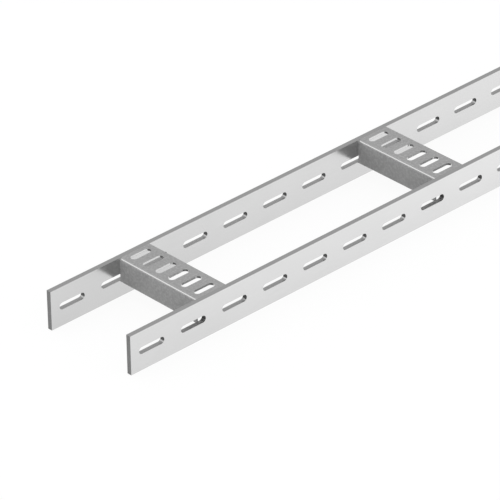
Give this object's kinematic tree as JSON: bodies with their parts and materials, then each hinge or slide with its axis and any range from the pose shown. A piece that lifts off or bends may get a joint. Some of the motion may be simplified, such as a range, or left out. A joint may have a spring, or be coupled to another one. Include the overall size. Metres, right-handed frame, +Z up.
{
  "type": "cable ladder section",
  "caption": "Straight length of steel cable ladder: slotted flat-bar side rails joined by evenly spaced, slotted and folded sheet rungs level with the rail tops.",
  "frame": {"origin": "centre of the footprint, level with the bottom edges of the side rails", "axes": "+X along the ladder, away from the end nearer the camera's left, +Y across it from right rail to left rail, +Z up; the webs of the rungs face -X"},
  "size_m": [2, 0.11, 0.04],
  "materials": {
    "rail_steel": "satin flat bar with a fine grain",
    "rung_steel": "satin sheet with a fine mottled grain"
  },
  "bodies": {
    "root": {"side_rail_left": "rail_steel", "side_rail_right": "rail_steel", "rung_01": "rung_steel", "rung_02": "rung_steel", "rung_03": "rung_steel", "rung_04": "rung_steel", "rung_05": "rung_steel", "rung_06": "rung_steel", "rung_07": "rung_steel"}
  },
  "joints": []
}
